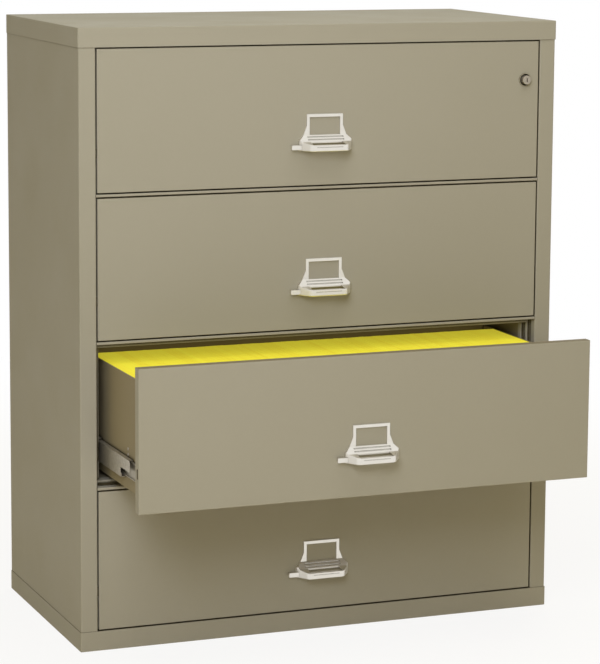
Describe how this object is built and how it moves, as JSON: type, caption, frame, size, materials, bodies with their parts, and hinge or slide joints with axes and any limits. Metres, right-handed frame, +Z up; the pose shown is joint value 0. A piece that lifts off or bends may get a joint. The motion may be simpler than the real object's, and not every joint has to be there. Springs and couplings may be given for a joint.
{
  "type": "fireproof lateral file cabinet",
  "caption": "wide insulated steel file cabinet with stacked pull-out drawers on telescopic slides, plated pulls with label frames, thumb latches and a push-in plunger lock",
  "frame": {"origin": "on the floor, at the middle of the base's footprint", "axes": "+X to the right seen from the front, -Y out of the front the way the drawers open, +Z up"},
  "size_m": [1.1112, 0.8705, 1.3398],
  "materials": {
    "paint": "smooth tan-grey enamel",
    "liner_paint": "smooth tan-grey enamel, inside the cavities",
    "gypsum": "matt cast gypsum insulation",
    "tray_paint": "smooth tan-grey enamel, on the drawer body",
    "zinc": "bright zinc plate",
    "bright_plate": "bright plated casting",
    "lock_plate": "bright plated turned metal",
    "stop_rubber": "matt black",
    "folder_card": "matt yellow card"
  },
  "bodies": {
    "cabinet": {"top_cap": "paint", "base_pan": "paint", "side_panel_left": "paint", "side_panel_right": "paint", "back_panel": "paint", "header_rail": "paint", "sill_rail": "paint", "drawer_rail_1": "paint", "drawer_rail_2": "paint", "drawer_rail_3": "paint", "insulation_fill": "gypsum", "drawer_stops": "stop_rubber", "liner_1": "liner_paint", "liner_2": "liner_paint", "liner_3": "liner_paint", "liner_4": "liner_paint", "slide_cabinet_1": "zinc", "slide_cabinet_2": "zinc", "slide_cabinet_3": "zinc", "slide_cabinet_4": "zinc"},
    "drawer_1": {"drawer_front_1": "paint", "head_pan_1": "tray_paint", "head_fill_1": "gypsum", "drawer_tray_1": "tray_paint", "pull_1": "bright_plate", "slide_drawer_1": "zinc", "lock_bezel": "lock_plate"},
    "middle_1": {"slide_middle_1": "zinc"},
    "latch_1": {"thumb_latch_1": "bright_plate"},
    "drawer_2": {"drawer_front_2": "paint", "head_pan_2": "tray_paint", "head_fill_2": "gypsum", "drawer_tray_2": "tray_paint", "pull_2": "bright_plate", "slide_drawer_2": "zinc"},
    "middle_2": {"slide_middle_2": "zinc"},
    "latch_2": {"thumb_latch_2": "bright_plate"},
    "drawer_3": {"drawer_front_3": "paint", "head_pan_3": "tray_paint", "head_fill_3": "gypsum", "drawer_tray_3": "tray_paint", "pull_3": "bright_plate", "slide_drawer_3": "zinc", "folders": "folder_card"},
    "middle_3": {"slide_middle_3": "zinc"},
    "latch_3": {"thumb_latch_3": "bright_plate"},
    "drawer_4": {"drawer_front_4": "paint", "head_pan_4": "tray_paint", "head_fill_4": "gypsum", "drawer_tray_4": "tray_paint", "pull_4": "bright_plate", "slide_drawer_4": "zinc"},
    "middle_4": {"slide_middle_4": "zinc"},
    "latch_4": {"thumb_latch_4": "bright_plate"},
    "plunger": {"lock_plunger": "lock_plate"},
    "plug": {"key_plug": "lock_plate"},
    "lock_bar": {"lock_bar": "zinc"}
  },
  "joints": [
    {"name": "drawer_1_slide", "type": "slide", "parent": "cabinet", "child": "drawer_1", "axis": [0, -1, 0], "range_m": [0, 0.4]},
    {"name": "middle_1_slide", "type": "slide", "parent": "cabinet", "child": "middle_1", "axis": [0, -1, 0], "range_m": [0, 0.3245]},
    {"name": "drawer_2_slide", "type": "slide", "parent": "cabinet", "child": "drawer_2", "axis": [0, -1, 0], "range_m": [0, 0.4]},
    {"name": "middle_2_slide", "type": "slide", "parent": "cabinet", "child": "middle_2", "axis": [0, -1, 0], "range_m": [0, 0.3245]},
    {"name": "drawer_3_slide", "type": "slide", "parent": "cabinet", "child": "drawer_3", "axis": [0, -1, 0], "range_m": [-0.275, 0.125]},
    {"name": "middle_3_slide", "type": "slide", "parent": "cabinet", "child": "middle_3", "axis": [0, -1, 0], "range_m": [-0.223, 0.1015]},
    {"name": "drawer_4_slide", "type": "slide", "parent": "cabinet", "child": "drawer_4", "axis": [0, -1, 0], "range_m": [0, 0.4]},
    {"name": "middle_4_slide", "type": "slide", "parent": "cabinet", "child": "middle_4", "axis": [0, -1, 0], "range_m": [0, 0.3245]},
    {"name": "latch_1_slide", "type": "slide", "parent": "drawer_1", "child": "latch_1", "axis": [1, 0, 0], "range_m": [0, 0.006], "stiffness_N_per_m": 300, "springref_m": -0.004},
    {"name": "latch_2_slide", "type": "slide", "parent": "drawer_2", "child": "latch_2", "axis": [1, 0, 0], "range_m": [0, 0.006], "stiffness_N_per_m": 300, "springref_m": -0.004},
    {"name": "latch_3_slide", "type": "slide", "parent": "drawer_3", "child": "latch_3", "axis": [1, 0, 0], "range_m": [0, 0.006], "stiffness_N_per_m": 300, "springref_m": -0.004},
    {"name": "latch_4_slide", "type": "slide", "parent": "drawer_4", "child": "latch_4", "axis": [1, 0, 0], "range_m": [0, 0.006], "stiffness_N_per_m": 300, "springref_m": -0.004},
    {"name": "plunger_slide", "type": "slide", "parent": "drawer_1", "child": "plunger", "axis": [0, 1, 0], "range_m": [0, 0.011], "stiffness_N_per_m": 600, "springref_m": -0.01},
    {"name": "key_turn", "type": "hinge", "parent": "plunger", "child": "plug", "pos_m": [0.48102, -0.27949, 1.2095], "axis": [0, 1, 0], "range_deg": [0, 90]},
    {"name": "lock_bar_slide", "type": "slide", "parent": "cabinet", "child": "lock_bar", "axis": [0, 0, 1], "range_m": [0, 0.0099]}
  ],
  "couplings": [
    {"joint": "middle_1_slide", "follows": "drawer_1_slide", "ratio": 0.8109},
    {"joint": "middle_2_slide", "follows": "drawer_2_slide", "ratio": 0.8109},
    {"joint": "middle_3_slide", "follows": "drawer_3_slide", "ratio": 0.8109},
    {"joint": "middle_4_slide", "follows": "drawer_4_slide", "ratio": 0.8109},
    {"joint": "lock_bar_slide", "follows": "plunger_slide", "ratio": 0.9}
  ]
}
